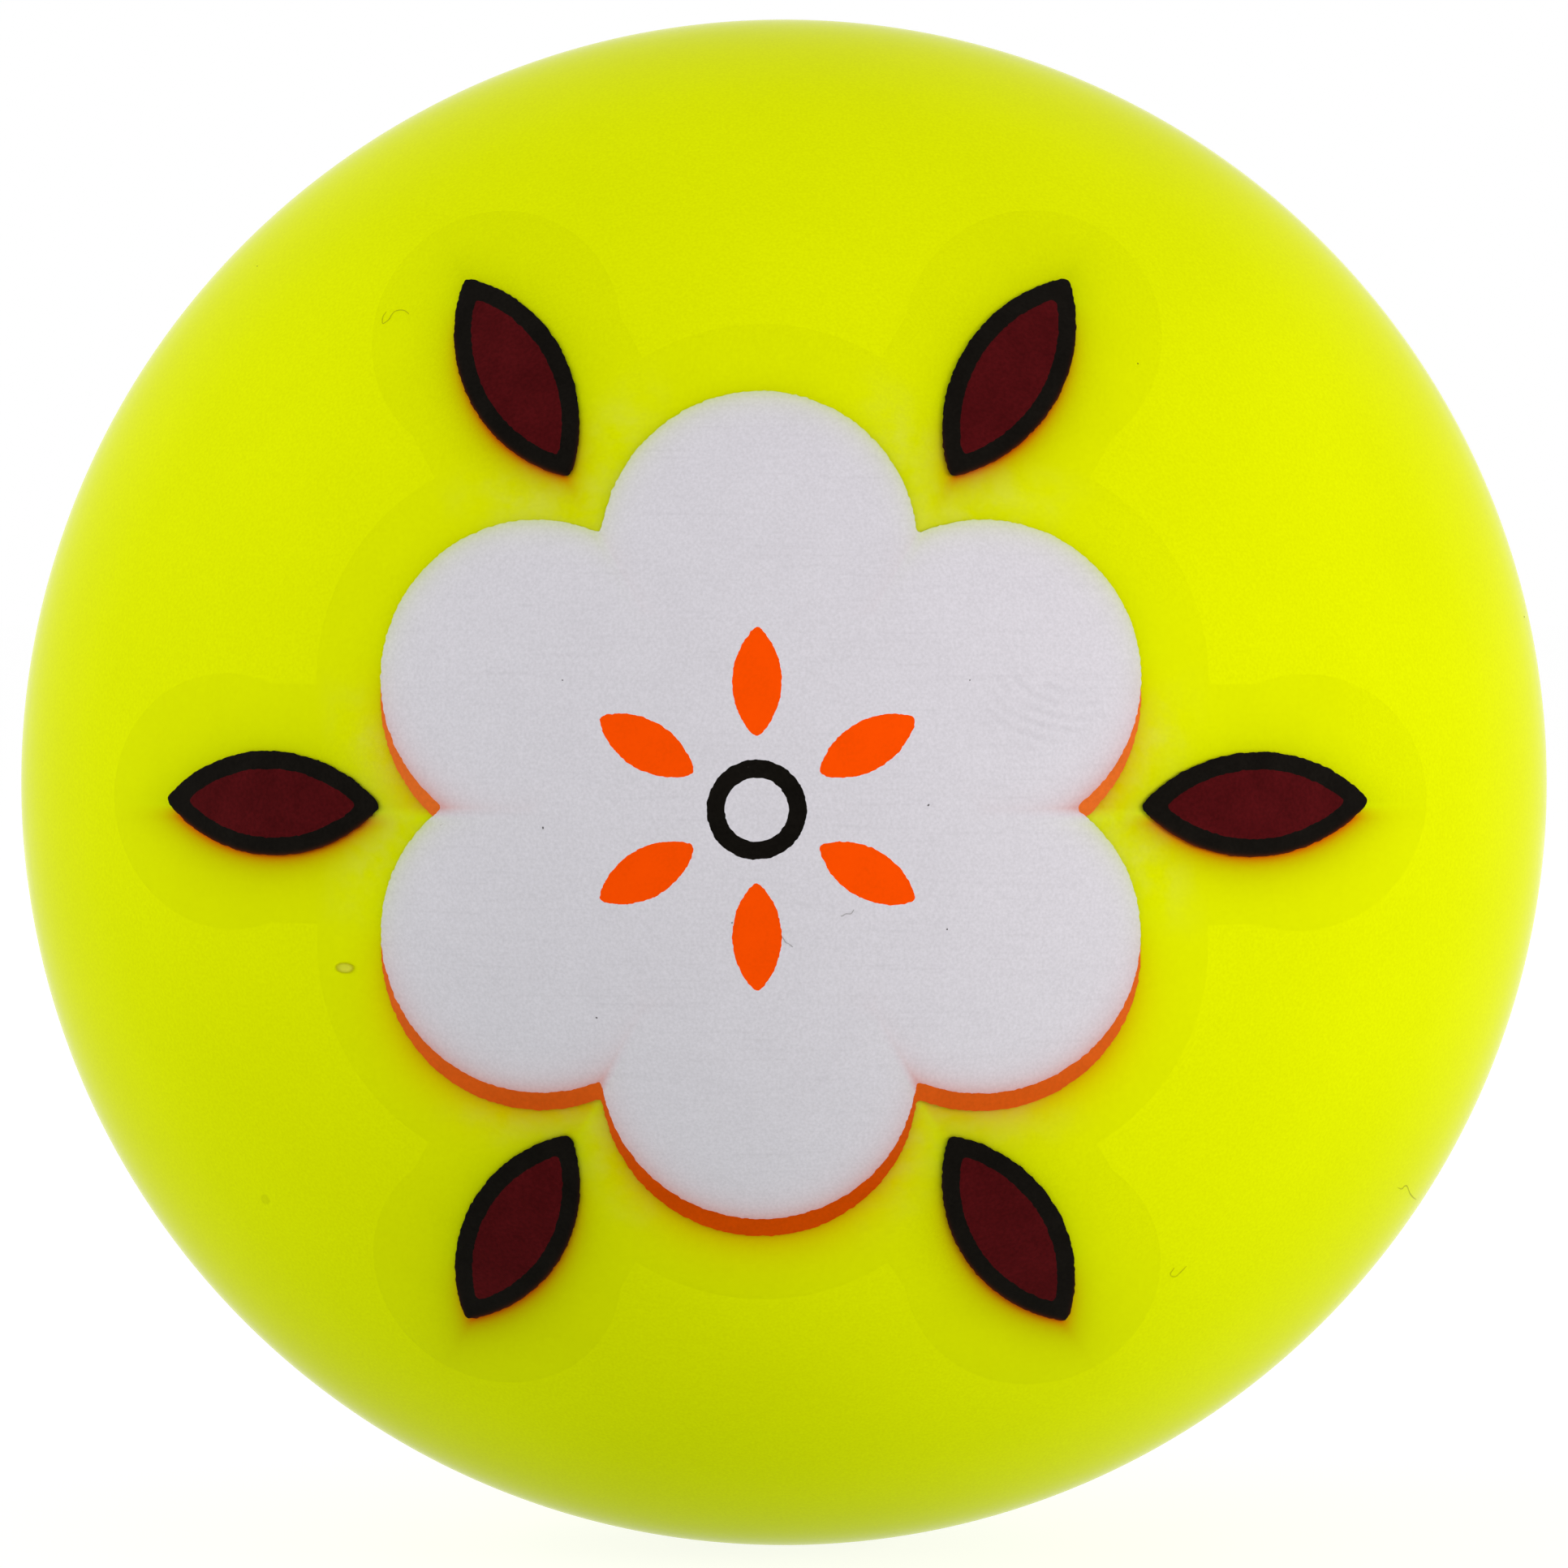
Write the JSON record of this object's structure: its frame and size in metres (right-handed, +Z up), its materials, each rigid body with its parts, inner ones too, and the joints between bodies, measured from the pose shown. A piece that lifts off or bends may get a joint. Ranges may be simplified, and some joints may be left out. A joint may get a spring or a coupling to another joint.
{
  "type": "field hockey ball",
  "caption": "Smooth round moulded ball for field hockey, with a clear transfer film on its front that carries a printed flower, leaves and a scalloped white field.",
  "frame": {"origin": "centre of the ball", "axes": "+Z is up, -Y runs out through the middle of the print, and +X is to the right of someone who faces the print"},
  "size_m": [0.073, 0.0731, 0.073],
  "materials": {
    "ball_plastic": "smooth moulded, softly glossy, slightly see-through at its skin",
    "clear_film": "clear, smooth, with a cut edge",
    "white_ink": "smooth printed ink",
    "deep_orange_ink": "smooth printed ink",
    "bright_orange_ink": "smooth printed ink",
    "black_ink": "smooth printed ink",
    "maroon_ink": "smooth printed ink"
  },
  "bodies": {
    "root": {"ball": "ball_plastic", "transfer_film": "clear_film", "white_field": "white_ink", "orange_edge": "deep_orange_ink", "orange_petals": "bright_orange_ink", "black_lines": "black_ink", "maroon_leaves": "maroon_ink"}
  },
  "joints": []
}
